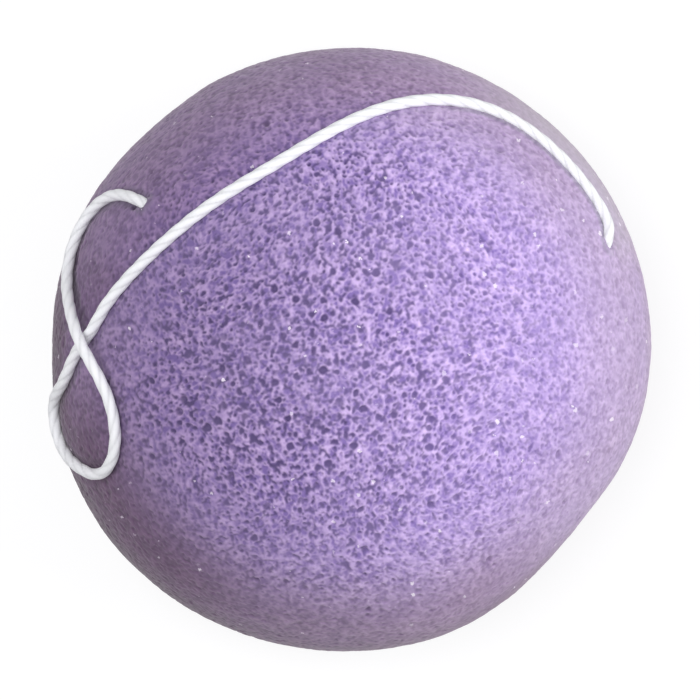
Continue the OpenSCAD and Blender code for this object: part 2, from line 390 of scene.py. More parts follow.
CAMERA_HEIGHT = 450 * MM
CAMERA_NEAR, CAMERA_FAR = 0.01, 20
SENSOR = 36
# Pixels in the photograph's frame, and its focal length in those pixels
FRAME_PX = 700
FOCAL_PX = 3383.2


# Geometry of the dome, the channel and the cord's lines

def unit(v):
    return v / np.linalg.norm(v, axis=-1, keepdims=True)


def heading(turn, climb):
    """The unit direction at an azimuth and a climb in degrees."""
    t, c = math.radians(turn), math.radians(climb)
    return np.array([math.cos(c) * math.cos(t), math.cos(c) * math.sin(t), math.sin(c)])


def rim_r(azimuth):
    """Radius of the rim at an azimuth in degrees."""
    share = 1
    for at, wide, deep in RIM_WAVE_SHARES:
        apart = (azimuth - at + 540) % 360 - 180
        share = share + deep * np.exp(-((apart / wide) ** 2) / 2)
    return SPONGE_R * share


def dome_reach(u):
    """How far the dome lies from its centre in the unit directions u."""
    azimuth = np.degrees(np.arctan2(u[..., 1], u[..., 0]))
    sideways = np.hypot(u[..., 0], u[..., 1]) / rim_r(azimuth)
    up = np.maximum(u[..., 2], 0) / DOME_H
    return (sideways ** DOME_FULLNESS + up ** DOME_FULLNESS) ** (-1 / DOME_FULLNESS)


def dome_normal(u):
    """The dome's outward directions where the unit directions u meet it."""
    p = u * dome_reach(u)[..., None]
    r = np.hypot(p[..., 0], p[..., 1])
    a = rim_r(np.degrees(np.arctan2(u[..., 1], u[..., 0])))
    sideways = (r / a) ** (DOME_FULLNESS - 1) / a
    up = (np.maximum(p[..., 2], 0) / DOME_H) ** (DOME_FULLNESS - 1) / DOME_H
    return unit(np.stack([p[..., 0] / r * sideways, p[..., 1] / r * sideways, up], axis=-1))


def over_dome(u, rise):
    """The places at heights over the dome, on the lines from its centre along u."""
    reach = dome_reach(u) + rise / (dome_normal(u) * u).sum(-1)
    return DOME_CENTRE + u * reach[..., None]


left_mouth = over_dome(heading(LEFT_TURN, LEFT_CLIMB), 0)
right_mouth = over_dome(heading(RIGHT_TURN, RIGHT_CLIMB), 0)
along = unit(right_mouth - left_mouth)
across = unit(np.cross([0, 0, 1], along))
upward = np.cross(along, across)
left_out = across * math.sin(CHANNEL_LEAN) - along * math.cos(CHANNEL_LEAN)
right_out = across * math.sin(CHANNEL_LEAN) + along * math.cos(CHANNEL_LEAN)
mouth_run = MOUTH_RUN_SHARE * CORD_D
mouth_span = np.linalg.norm(right_mouth - left_mouth)
arc_r = (mouth_span / 2 - mouth_run * math.cos(CHANNEL_LEAN)) / math.sin(CHANNEL_LEAN)
bow = arc_r * (1 - math.cos(CHANNEL_LEAN)) + mouth_run * math.sin(CHANNEL_LEAN)
arc_centre = (left_mouth + right_mouth) / 2 + across * (arc_r - bow)


def by_channel(x, y, z):
    """A place near the bowed channel inside: along it, across it and up."""
    a = x / arc_r
    return (arc_centre + (arc_r - y) * (along * math.sin(a) - across * math.cos(a))
            + upward * z)


def spline(points, steps):
    """A smooth curve drawn to the points, a uniform cubic spline."""
    p = np.array(points, float)
    t = np.linspace(0, 1, steps, endpoint=False)[:, None]
    curve = []
    for i in range(1, len(p) - 2):
        curve.append(((1 - t) ** 3 * p[i - 1] + (3 * t ** 3 - 6 * t ** 2 + 4) * p[i]
                      + (1 + 3 * t + 3 * t ** 2 - 3 * t ** 3) * p[i + 1]
                      + t ** 3 * p[i + 2]) / 6)
    curve.append((p[-3:-2] + 4 * p[-2:-1] + p[-1:]) / 6)
    return np.concatenate(curve)


def evenly(line, step):
    """The same line with points about step apart."""
    at = np.concatenate([[0], np.cumsum(np.linalg.norm(np.diff(line, axis=0), axis=1))])
    new = np.linspace(0, at[-1], int(at[-1] / step) + 1)
    return np.stack([np.interp(new, at, line[:, k]) for k in range(3)], axis=1)


# Camera

def make_camera():
    data = bpy.data.cameras.new("camera")
    data.sensor_width = SENSOR
    data.lens = FOCAL_PX / FRAME_PX * SENSOR
    data.clip_start = CAMERA_NEAR
    data.clip_end = CAMERA_FAR
    camera = bpy.data.objects.new("camera", data)
    camera.location = (0, 0, CAMERA_HEIGHT)
    bpy.context.scene.collection.objects.link(camera)
    bpy.context.scene.camera = camera
    bpy.context.scene.view_settings.view_transform = "Standard"


# Node and mesh helpers

def plug(tree, socket, value):
    """Links a socket into another node's output, or gives it a value."""
    if isinstance(value, bpy.types.NodeSocket):
        tree.links.new(value, socket)
    else:
        socket.default_value = value


def add(tree, kind, inputs=None, **settings):
    """A node with its settings, and its inputs linked or given values."""
    node = tree.nodes.new(kind)
    for name, value in settings.items():
        setattr(node, name, value)
    for name, value in (inputs or {}).items():
        plug(tree, node.inputs[name], value)
    return node


def new_material(name):
    material = bpy.data.materials.new(name)
    material.use_nodes = True
    material.node_tree.nodes.clear()
    return material, material.node_tree


def math_node(tree, how, a, b=0.0, clamp=False):
    return add(tree, "ShaderNodeMath", {0: a, 1: b}, operation=how, use_clamp=clamp).outputs[0]


def mixed(tree, share, a, b, blend="MIX"):
    """Colour a, mixed by a share with colour b. The colour sockets are 6, 7 and 2."""
    return add(tree, "ShaderNodeMix", {0: share, 6: a, 7: b},
               data_type="RGBA", blend_type=blend).outputs[2]


def ranged(tree, value, low, high, to_low=0.0, to_high=1.0):
    """A value's smooth step between low and high, as a number from to_low to to_high."""
    return add(tree, "ShaderNodeMapRange",
               {"Value": value, "From Min": low, "From Max": high,
                "To Min": to_low, "To Max": to_high}, interpolation_type="SMOOTHSTEP").outputs[0]


def noise(tree, place, scale, detail=1.0):
    return add(tree, "ShaderNodeTexNoise", {"Vector": place, "Scale": scale, "Detail": detail})


def attribute(tree, name):
    return add(tree, "ShaderNodeAttribute", attribute_name=name).outputs["Fac"]


def mesh_object(name, points, quads):
    """A smooth mesh object from arrays of points and quads."""
    mesh = bpy.data.meshes.new(name)
    mesh.vertices.add(len(points))
    mesh.vertices.foreach_set("co", np.ascontiguousarray(points, np.float32).ravel())
    mesh.loops.add(4 * len(quads))
    mesh.loops.foreach_set("vertex_index", np.ascontiguousarray(quads, np.int32).ravel())
    mesh.polygons.add(len(quads))
    mesh.polygons.foreach_set("loop_start", np.arange(0, 4 * len(quads), 4, dtype=np.int32))
    mesh.update(calc_edges=True)
    mesh.validate()
    mesh.shade_smooth()
    piece = bpy.data.objects.new(name, mesh)
    bpy.context.scene.collection.objects.link(piece)
    return piece


def set_attribute(piece, name, values):
    layer = piece.data.attributes.new(name, "FLOAT", "POINT")
    layer.data.foreach_set("value", np.ascontiguousarray(values, np.float32))


# Twisted cotton

def carried_frames(line):
    """Travel, side and third direction at each point, turning no more than they must."""
    travel = unit(np.gradient(line, axis=0))
    side = np.zeros_like(line)
    now = upward
    for i, t in enumerate(travel):
        now = now - t * np.dot(now, t)
        now = now / np.linalg.norm(now)
        side[i] = now
    return travel, side, np.cross(travel, side)


def tube_quads(rings, sides):
    """Quads of a tube that is made of rings of points."""
    i = np.arange(rings - 1)[:, None] * sides
    k = np.arange(sides)[None, :]
    after = (k + 1) % sides
    return np.stack([i + k, i + after, i + sides + after, i + sides + k], axis=-1).reshape(-1, 4)


def twisted_cord(name, line, seed):
    """Plies laid round each other along a line, each a tube, in one mesh."""
    rng = np.random.default_rng(seed)
    line = evenly(line, RING_STEP)
    _, side, third = carried_frames(line)
    at = np.arange(len(line)) * RING_STEP
    around = np.arange(PLY_SIDES) / PLY_SIDES * 2 * math.pi
    points, quads = [], []
    for ply in range(PLIES):
        wobble = sum(rng.uniform(*WOBBLE_STRENGTHS)
                     * np.sin(at / wave + rng.uniform(0, WOBBLE_START))
                     for wave in WOBBLE_WAVES) / len(WOBBLE_WAVES)
        turn = 2 * math.pi * (at / LAY_LENGTH + ply / PLIES) + WOBBLE_TURN * wobble
        thick = PLY_R * (1 + WOBBLE_SHARE * wobble)
        centre = line + (PLY_OFFSET * (np.cos(turn) * side.T + np.sin(turn) * third.T)).T
        ring = (thick[:, None, None]
                * (np.cos(around)[None, :, None] * side[:, None, :]
                   + np.sin(around)[None, :, None] * third[:, None, :]))
        points.append((centre[:, None, :] + ring).reshape(-1, 3))
        quads.append(ply * len(line) * PLY_SIDES + tube_quads(len(line), PLY_SIDES))
    return mesh_object(name, np.concatenate(points), np.concatenate(quads)), line


def cotton_material():
    material, tree = new_material("cotton")
    place = add(tree, "ShaderNodeTexCoord").outputs["Object"]
    soft = noise(tree, place, COTTON_SCALE, detail=3.0).outputs[0]
    hairs = noise(tree, place, HAIR_SCALE, detail=2.0).outputs[0]
    colour = mixed(tree, ranged(tree, soft, *COTTON_STEP), COTTON_DIM, COTTON_BRIGHT)
    height = math_node(tree, "ADD", soft, math_node(tree, "MULTIPLY", hairs, HAIR_SHARE))
    bump = add(tree, "ShaderNodeBump", {"Height": height, "Strength": 0.5,
                                        "Distance": 0.05 * MM})
    shader = add(tree, "ShaderNodeBsdfPrincipled",
                 {"Base Color": colour, "Roughness": 0.9, "Normal": bump.outputs[0],
                  "Subsurface Weight": 0.3, "Subsurface Scale": 0.4 * MM,
                  "Subsurface Radius": (1.0, 1.0, 1.0),
                  "Sheen Weight": 0.3, "Sheen Roughness": 0.5})
    add(tree, "ShaderNodeOutputMaterial", {"Surface": shader.outputs[0]})
    return material


def free_points():
    """Points of the free cord: in the left mouth, over the dome, in the right mouth."""
    inward = [-left_out * share * CORD_D for share in MOUTH_STEP_SHARES[::-1]]
    outward = [-right_out * share * CORD_D for share in MOUTH_STEP_SHARES]
    route = np.array(CORD_ROUTE)
    rise = CORD_D / 2 - CORD_SINK + route[:, 3] * CORD_D
    lain = over_dome(unit(route[:, :3]), rise)
    return np.concatenate([left_mouth + inward, lain, right_mouth + outward])


def end_points(mouth, out, hand):
    """Points of a threaded end, from its mouth along the channel and through the knot."""
    arc_half = arc_r * CHANNEL_LEAN
    knot_start = -KNOT_ROUTE_SHARES[0][0] * CORD_D
    points = [mouth - out * share * CORD_D for share in MOUTH_STEP_SHARES[1:]]
    for k in range(ARC_STEPS):
        inward = (arc_half - knot_start) * k / ARC_STEPS
        points.append(by_channel(hand * (arc_half - inward), 0, 0))
    for x, y, z in KNOT_ROUTE_SHARES:
        points.append(by_channel(-hand * x * CORD_D, y * CORD_D, -hand * z * CORD_D))
    return points


make_camera()
cotton = cotton_material()
cord, cord_line = twisted_cord("looped_cord", spline(free_points(), SPLINE_STEPS), 1)
left_end, _ = twisted_cord("threaded_end_left",
                           spline(end_points(left_mouth, left_out, -1), SPLINE_STEPS), 2)
right_end, _ = twisted_cord("threaded_end_right",
                            spline(end_points(right_mouth, right_out, 1), SPLINE_STEPS), 3)
for piece, node in ((cord, "hanging_cord"), (left_end, "left_cord_end"),
                    (right_end, "right_cord_end")):
    piece.data.materials.append(cotton)
    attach(piece, "root")
    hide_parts(node)


# The sponge: its plain skin, pressed by the cord and opened by its pores

def cube_lattice(n):
    """Corners and quads of a cube's surface cut into n by n squares a side, and a map.

    The map lays the six sides out as three by two squares.
    """
    quads, maps = [], []
    a, b = np.meshgrid(np.arange(n), np.arange(n), indexing="ij")
    for side in range(6):
        axis, far = side // 2, side % 2
        square, flat = [], []
        for da, db in ((0, 0), (1, 0), (1, 1), (0, 1)):
            p = np.zeros((n, n, 3), np.int64)
            p[..., axis] = far * n
            p[..., (axis + 1) % 3] = a + da
            p[..., (axis + 2) % 3] = b + db
            square.append(p)
            u = (axis + MAP_MARGIN + (1 - 2 * MAP_MARGIN) * (a + da) / n) / 3
            v = (far + MAP_MARGIN + (1 - 2 * MAP_MARGIN) * (b + db) / n) / 2
            flat.append(np.stack([u, v], axis=-1))
        way = 1 if far else -1
        quads.append(np.stack(square[::way], axis=2).reshape(-1, 4, 3))
        maps.append(np.stack(flat[::way], axis=2).reshape(-1, 4, 2))
    quads = np.concatenate(quads)
    row = n + 1
    key = (quads[..., 0] * row + quads[..., 1]) * row + quads[..., 2]
    found, index = np.unique(key, return_inverse=True)
    corners = np.stack([found // row ** 2, found // row % row, found % row], axis=1)
    return corners, index.reshape(-1, 4), np.concatenate(maps)


def length_shares(x, z):
    """Share of a profile's length at each of its points."""
    d = np.concatenate([[0], np.cumsum(np.hypot(np.diff(x), np.diff(z)))])
    return d / d[-1]


def plain_skin(n):
    """Points spread over the closed half ball, their quads and their map."""
    corners, quads, maps = cube_lattice(n)
    u = unit(np.tan((corners / n * 2 - 1) * math.pi / 4))
    azimuth = np.degrees(np.arctan2(u[:, 1], u[:, 0]))
    climb = np.degrees(np.arcsin(np.clip(u[:, 2], -1, 1))) + 90
    r = rim_r(azimuth)
    turn = np.linspace(0, math.pi / 2, PROFILE_STEPS)
    power = 2 / DOME_FULLNESS
    rim_at = BACK_DEGREES + EDGE_DEGREES
    rise = length_shares(SPONGE_R * np.cos(turn) ** power, DOME_H * np.sin(turn) ** power)
    over = np.interp((climb - rim_at) / (180 - rim_at), rise, turn)
    edge = length_shares(BACK_INSET * np.cos(turn), WIDEST_H * np.sin(turn))
    under = np.interp((rim_at - climb) / EDGE_DEGREES, edge, turn)
    inward = np.clip(climb / BACK_DEGREES, 0, 1)
    dome = climb >= rim_at
    radius = np.where(dome, r * np.maximum(np.cos(over), 0) ** power,
                      (r - BACK_INSET * (1 - np.cos(under))) * inward)
    height = np.where(dome, WIDEST_H + DOME_H * np.sin(over) ** power,
                      WIDEST_H * (1 - np.sin(under)))
    a = np.radians(azimuth)
    return np.stack([radius * np.cos(a), radius * np.sin(a), height], axis=1), quads, maps


def skin_normals(points, quads):
    """Outward directions of the skin at its points."""
    p = points[quads]
    face = np.cross(p[:, 2] - p[:, 0], p[:, 3] - p[:, 1])
    out = np.zeros_like(points)
    for k in range(4):
        for axis in range(3):
            out[:, axis] += np.bincount(quads[:, k], face[:, axis], len(points))
    return unit(out)


def skin_areas(points, quads):
    """Area round each point of the skin, up to one factor."""
    p = points[quads]
    area = np.linalg.norm(np.cross(p[:, 2] - p[:, 0], p[:, 3] - p[:, 1]), axis=1)
    return sum(np.bincount(quads[:, k], area, len(points)) for k in range(4))


def softened(values, quads):
    """The values, each averaged with those round it."""
    middle = values[quads].mean(1)
    total = sum(np.bincount(quads[:, k], middle, len(values)) for k in range(4))
    return total / np.bincount(quads.ravel(), minlength=len(values))


def soft_noise(points, cell, seed):
    """Smooth noise from -1 to 1, with blobs about a cell wide."""
    rng = np.random.default_rng(seed)
    size = NOISE_TABLE
    table = rng.uniform(-1, 1, (size, size, size)).ravel()
    turned, _ = np.linalg.qr(rng.normal(size=(3, 3)))
    q = points @ turned / cell + NOISE_SHIFT
    i = np.floor(q).astype(np.int64)
    f = q - i
    f = f * f * (3 - 2 * f)
    total = 0
    for dx, dy, dz in itertools.product((0, 1), repeat=3):
        w = (np.where(dx, f[:, 0], 1 - f[:, 0]) * np.where(dy, f[:, 1], 1 - f[:, 1])
             * np.where(dz, f[:, 2], 1 - f[:, 2]))
        at = (((i[:, 0] + dx) % size) * size + (i[:, 1] + dy) % size) * size
        total = total + w * table[at + (i[:, 2] + dz) % size]
    return total


def pairs_within(points, centres, reach):
    """Pairs (point, centre, distance) nearer than that centre's reach."""
    # Points are looked up in a grid of cells, which reaches past them on all sides
    cell = reach.max()
    low = points.min(0) - 2 * cell
    wide = np.ceil((points.max(0) - low) / cell).astype(np.int64) + 4

    def key(places):
        i = np.floor((places - low) / cell).astype(np.int64)
        return (i[:, 0] * wide[1] + i[:, 1]) * wide[2] + i[:, 2]

    keys = key(points)
    order = np.argsort(keys, kind="stable")
    keys = keys[order]
    found = []
    for step in np.ndindex(3, 3, 3):
        here = key(centres + (np.array(step) - 1) * cell)
        first = np.searchsorted(keys, here, "left")
        count = np.searchsorted(keys, here, "right") - first
        which = np.repeat(np.arange(len(centres)), count)
        start = np.repeat(first - np.concatenate([[0], np.cumsum(count)[:-1]]), count)
        point = order[start + np.arange(len(which))]
        apart = np.linalg.norm(points[point] - centres[which], axis=1)
        near = apart < reach[which]
        found.append((point[near], which[near], apart[near]))
    return [np.concatenate(x) for x in zip(*found)]


def smooth_step(value, low, high):
    """A smooth step from 0 at low to 1 at high. High may be the smaller one."""
    t = np.clip((value - low) / (high - low), 0, 1)
    return t * t * (3 - 2 * t)


def sector(azimuth, step_in, step_out):
    """1 in a sector of azimuths and 0 outside it, with a smooth step at both sides."""
    return smooth_step(azimuth, *step_in) * smooth_step(azimuth, *step_out)


def round_top(out_share, radius):
    """1 at the top of the dome, falling as a bell curve of this radius."""
    return np.exp(-(out_share * SPONGE_R / radius) ** 2)


def beyond_strand(points):
    """How far outside the cord's long strand and its loop's inner side a place lies."""
    at = np.linspace(0, 1, len(cord_line))
    bound = np.concatenate([cord_line[(at > start) & (at < end)]
                            for start, end in (LOOP_SIDE, STRAND)])
    turn = np.degrees(np.arctan2(bound[:, 1], bound[:, 0])) % 360
    order = np.argsort(turn)
    azimuth = np.degrees(np.arctan2(points[:, 1], points[:, 0])) % 360
    reach = np.interp(azimuth, turn[order], np.hypot(bound[:, 0], bound[:, 1])[order])
    return np.hypot(points[:, 0], points[:, 1]) - reach, azimuth


def tone_strength(skin, rim_at):
    """1 above the widest level, weaker down to the flat back, and fading out on it."""
    strength = BACK_TONE + (1 - BACK_TONE) * smooth_step(skin[:, 2], 0, WIDEST_H)
    share_of_back = np.hypot(skin[:, 0], skin[:, 1]) / (rim_at - BACK_INSET)
    on_back = skin[:, 2] < BACK_SKIN_H
    return strength * np.where(on_back, smooth_step(share_of_back, *BACK_SHARES), 1)


def rim_shade_zone(azimuth, tone_share, held_and_shaded, strength):
    """Painted shade along the rim, darkest at its lower left, and painted cord shadow between
    the strands.
    """
    rim_shade = sector(azimuth, *RIM_SHADE_SECTOR)
    rim_shade = rim_shade * (RIM_SHADE_LEAST + (1 - RIM_SHADE_LEAST) * smooth_step(azimuth, *RIM_SHADE_DARKEST))
    rim_shade = rim_shade + TOP_SHADE * sector(azimuth, *TOP_SECTOR)
    rim_shade = rim_shade * smooth_step(tone_share, *RIM_SHADE_SHARES)
    left = sector(azimuth, *LEFT_SECTOR) * smooth_step(tone_share, *LEFT_SHARES)
    rim_shade = np.maximum(rim_shade, left) * strength
    return np.maximum(rim_shade, BETWEEN_SHADE * sector(azimuth, *BETWEEN_SECTOR) * held_and_shaded)


def shaded_zone(azimuth, rim_share, strength):
    """The shaded part of the last strip along the rim."""
    shaded = sector(azimuth, *SHADED_SECTOR)
    shaded = shaded * (SHADED_LEAST + (1 - SHADED_LEAST) * smooth_step(azimuth, *SHADED_DARKEST))
    return shaded * smooth_step(rim_share, *SHADED_SHARES) * strength


def skin_zones(skin):
    """Where each point of the skin lies, and how much it belongs to each zone."""
    beyond, azimuth = beyond_strand(skin)
    out_share = np.hypot(skin[:, 0], skin[:, 1]) / SPONGE_R
    rim_at = rim_r(azimuth)
    strength = tone_strength(skin, rim_at)
    # Everything below the widest level counts as rim
    below = skin[:, 2] < WIDEST_H
    tone_share = np.where(below, 1, out_share)
    rim_share = np.where(below, 1, out_share * SPONGE_R / rim_at)
    rimward = smooth_step(out_share, *RIMWARD_SHARES)
    held_and_shaded = smooth_step(beyond, *HELD_BEYOND) * sector(azimuth, *HELD_SECTOR) * strength
    strip = sector(azimuth, *STRIP_SECTOR) * (beyond > 0)
    from_mouth = np.minimum(np.linalg.norm(skin - left_mouth, axis=1),
                            np.linalg.norm(skin - right_mouth, axis=1))
    return SimpleNamespace(
        out_share=out_share, from_mouth=from_mouth, rimward=rimward, held_and_shaded=held_and_shaded,
        # The pores of the flat back are as open as those at the top
        form_rimward=rimward * (skin[:, 2] > RIMWARD_LEAST_H),
        inner=smooth_step(azimuth, *INNER_SECTOR) * (beyond < 0),
        strip=strip * smooth_step(skin[:, 2], *STRIP_HEIGHTS),
        rim_shade=rim_shade_zone(azimuth, tone_share, held_and_shaded, strength),
        edge=smooth_step(rim_share, *EDGE_SHARES) * strength,
        shaded=shaded_zone(azimuth, rim_share, strength))


def swells(skin):
    """How deep the slow swells of the moulded form sink the skin."""
    sunk = sum(high * soft_noise(skin, wide, seed) for high, wide, seed in SWELLS)
    return sunk * smooth_step(skin[:, 2], 0, SWELLS_FULL_H)


def mouth_forms(skin):
    """How deep the skin sinks at the mouths, where it closes round the cord."""
    sunk = 0
    for mouth, out in ((left_mouth, left_out), (right_mouth, right_out)):
        aside = np.linalg.norm(skin - mouth - out * DIMPLE_STEP, axis=1)
        sunk = sunk + DIMPLE_DEEP * (1 - smooth_step(aside, 0, DIMPLE_W / 2)) ** DIMPLE_POWER
        aside = np.linalg.norm(skin - mouth + out * LIP_STEP, axis=1)
        sunk = sunk - LIP_RISE * (1 - smooth_step(aside, 0, DIMPLE_W / 2)) ** DIMPLE_POWER
    return sunk


def mouth_gap(skin):
    """The open corner of the left mouth."""
    middle = over_dome(heading(GAP_TURN, GAP_CLIMB), 0)
    return 1 - smooth_step(np.linalg.norm(skin - middle, axis=1), GAP_FLOOR_R, GAP_R)


def pressed_groove(skin, normals):
    """How deep the cord presses the skin, and how far each point lies from the cord."""
    u = unit(cord_line - DOME_CENTRE)
    over = np.linalg.norm(cord_line - DOME_CENTRE, axis=1) - dome_reach(u)
    lying = cord_line[over * (dome_normal(u) * u).sum(1) > CLOSED_AT]
    point, ring, apart = pairs_within(skin, lying, np.full(len(lying), HOLLOW_REACH))
    clear = CORD_D / 2 - GROOVE_BITE
    rise = ((skin[point] - lying[ring]) * normals[point]).sum(1)
    aside = np.sqrt(np.maximum(apart ** 2 - rise ** 2, 0))
    under = (apart < clear) | ((aside < clear) & (rise < 0))
    groove = np.full(len(skin), -clear)
    cut = rise + np.sqrt(np.maximum(clear ** 2 - aside ** 2, 0))
    np.maximum.at(groove, point[under], cut[under])
    from_cord = np.full(len(skin), HOLLOW_REACH)
    np.minimum.at(from_cord, point, apart)
    return groove, from_cord


def thrown_pits(places, chance, sizes, wall, rng):
    """Pits of falling size, thrown at random places, that keep a wall between them."""
    cell = 2 * sizes[0][1] + wall
    grid, kept = {}, []
    steps = list(itertools.product((-1, 0, 1), repeat=3))
    for smallest, largest, number in sizes:
        picks = rng.choice(len(places), number, p=chance / chance.sum())
        radii = rng.uniform(smallest, largest, number)
        for place, r in zip(places[picks], radii):
            at = tuple((place // cell).astype(int))
            near = (q for dx, dy, dz in steps
                    for q in grid.get((at[0] + dx, at[1] + dy, at[2] + dz), ()))
            if all((place[0] - q[0]) ** 2 + (place[1] - q[1]) ** 2 + (place[2] - q[2]) ** 2
                   > (r + q[3] + wall) ** 2 for q in near):
                grid.setdefault(at, []).append((*place, r))
                kept.append((*place, r))
    kept = np.array(kept)
    return kept[:, :3], kept[:, 3]


def carve(points, centres, radii, depths, rng):
    """How deep irregular round pits open at each point, how dark, and their lips."""
    lean = unit(rng.normal(size=(len(centres), 3)))
    stretch = rng.uniform(0, PIT_SQUEEZE, len(centres))
    tone = rng.uniform(PIT_LEAST_TONE, 1, len(centres))
    point, which, apart = pairs_within(points, centres, radii * LIP_REACH)
    offset = points[point] - centres[which]
    squeeze = (offset * lean[which]).sum(1) ** 2 * stretch[which]
    share = np.sqrt(apart ** 2 + squeeze) / radii[which]
    bowl = np.sqrt(np.maximum(1 - share ** PIT_POWER, 0))
    deep = np.zeros(len(points))
    np.maximum.at(deep, point, bowl * depths[which])
    dark = np.zeros(len(points))
    np.maximum.at(dark, point, smooth_step(share, *DARK_SHARES) * tone[which])
    lip = np.zeros(len(points))
    beside = smooth_step(share, *LIP_RISING) * smooth_step(share, *LIP_FALLING)
    np.maximum.at(lip, point, beside * tone[which])
    return deep, dark, lip


def carved_pits(skin, quads, zones, warped):
    """Depth, dark and lip of the large pits, and the same of the small ones."""
    rng = np.random.default_rng(SKIN_SEED)
    # The lattice is close-set on top, so a place's chance is its own area
    area = skin_areas(skin, quads)
    central = (1 - BIG_RIM_LOSS * zones.form_rimward) * (1 - BIG_HELD_LOSS * zones.held_and_shaded)
    coarse = COARSE_LEAST + round_top(zones.out_share, COARSE_R)
    patchy = PATCH_LEAST + smooth_step(soft_noise(skin, PATCH_CELL, PATCH_SEED), *PATCH_STEP)
    chance = area * central * coarse * patchy * (skin[:, 2] > WIDEST_H)
    big, big_r = thrown_pits(warped, chance, BIG_PITS, BIG_WALL, rng)
    chance = area * (1 - SMALL_RIM_LOSS * zones.form_rimward)
    small, small_r = thrown_pits(warped, chance, SMALL_PITS, SMALL_WALL, rng)
    carved = []
    for centres, radii, depths in ((big, big_r, BIG_DEPTHS), (small, small_r, SMALL_DEPTHS)):
        deep = radii * rng.uniform(*depths, len(radii))
        carved.append(carve(warped, centres, radii, deep, rng))
    return carved


def wall_net(warped):
    """A net of thin walls between small cells, from 0 in a cell to 1 on a wall."""
    return np.maximum.reduce(
        [strong * (1 - np.minimum(np.abs(soft_noise(warped, cell, seed)) * sharp, 1))
         for cell, seed, sharp, strong in NETS])


def pores(skin, quads, zones):
    """How deep the pores and the net open the skin, how dark they are, and the walls."""
    stretched = skin / (1, 1, PORE_STRETCH)
    warped = stretched + WARP * np.stack(
        [soft_noise(stretched, WARP_CELL, seed) for seed in WARP_SEEDS], axis=1)
    (deep, dark, lip), (less, less_dark, less_lip) = carved_pits(skin, quads, zones, warped)
    fade = 1 - RIM_FADE * zones.form_rimward
    marks = smooth_step(soft_noise(warped, MARK_CELL, MARK_SEED), *MARK_STEP)
    marks = marks * smooth_step(zones.from_mouth, *MARK_FROM_MOUTH)
    dark = np.maximum(np.maximum(dark, less_dark * fade), MARK_DARK * marks * fade)
    lip = np.maximum(lip, less_lip * fade) * (1 - smooth_step(dark, *LIP_DARK))
    wall = wall_net(warped)
    tone = soft_noise(warped, NET_TONE_CELL, NET_TONE_SEED)
    net = NET_DEEP * (1 - wall) * (1 - NET_TONE_SHARE + NET_TONE_SHARE * tone)
    net = np.maximum(net, MARK_DEEP * marks) * (1 - NET_RIM_FADE * zones.form_rimward)
    calm = 1 - CALM * smooth_step(zones.groove, *CALM_DEPTHS)
    pit = np.maximum(np.maximum(deep, less * fade), net) * calm - LIP_HEIGHT * lip
    wall = (WALL_SHARE * np.maximum(wall, lip)
            + (1 - WALL_SHARE) * np.clip(0.5 + WALL_TONE * tone, 0, 1))
    smoother = 1 - SMOOTHER * smooth_step(skin[:, 0], *SMOOTHER_X)
    pit = softened(pit, quads) * smoother
    dark = np.minimum(DARK_GAIN * softened(dark, quads), 1) * smoother * calm
    gain = (WALL_GAIN + WALL_TOP_GAIN * round_top(zones.out_share, WALL_TOP_R)
            - WALL_RIM_LOSS * zones.form_rimward)
    wall = 0.5 + (softened(wall, quads) - 0.5) * gain * smoother
    return pit, dark, wall


def build_sponge():
    skin, quads, maps = plain_skin(SKIN_CELLS)
    normals = skin_normals(skin, quads)
    zones = skin_zones(skin)
    zones.groove, from_cord = pressed_groove(skin, normals)

    near = 1 - smooth_step(from_cord, CORD_D / 2, HOLLOW_REACH)
    hollow = HOLLOW_DEEP * near * smooth_step(zones.from_mouth, *HOLLOW_FROM_MOUTH)
    sunk = swells(skin) + mouth_forms(skin) + hollow * (1 - 2 * zones.inner)
    gap = mouth_gap(skin)
    sunk = np.maximum(sunk, zones.groove) + GAP_DEEP * gap
    pit, dark, wall = pores(skin, quads, zones)
    shape = skin - normals * (sunk + pit)[:, None]
    shape[:, 2] = np.maximum(shape[:, 2], 0)

    piece = mesh_object("konjac_body", shape, quads)
    layer = piece.data.uv_layers.new(name="OFBake")
    layer.uv.foreach_set("vector", maps.astype(np.float32).ravel())
    # Painted shade of the cord beside it, and at the right a band of painted cord shadow inside
    # the strand
    shadow_band = zones.inner * (1 - smooth_step(from_cord, *SHADOW_BAND_REACH))
    shadow_band = shadow_band * smooth_step(zones.from_mouth, *SHADOW_BAND_FROM_MOUTH)
    near = np.maximum(near * (CORD_SHADE_LEAST + (1 - CORD_SHADE_LEAST) * zones.held_and_shaded), shadow_band)
    # The mouth's gap is painted dark, as shade in the hole
    for name, values in (("dark", np.maximum(dark, gap)), ("wall", wall), ("near", near),
                         ("rimward", zones.rimward), ("held_and_shaded", zones.held_and_shaded),
                         ("rim_shade", zones.rim_shade), ("edge", zones.edge),
                         ("shaded", zones.shaded), ("strip", zones.strip)):
        set_attribute(piece, name, values)
    return piece


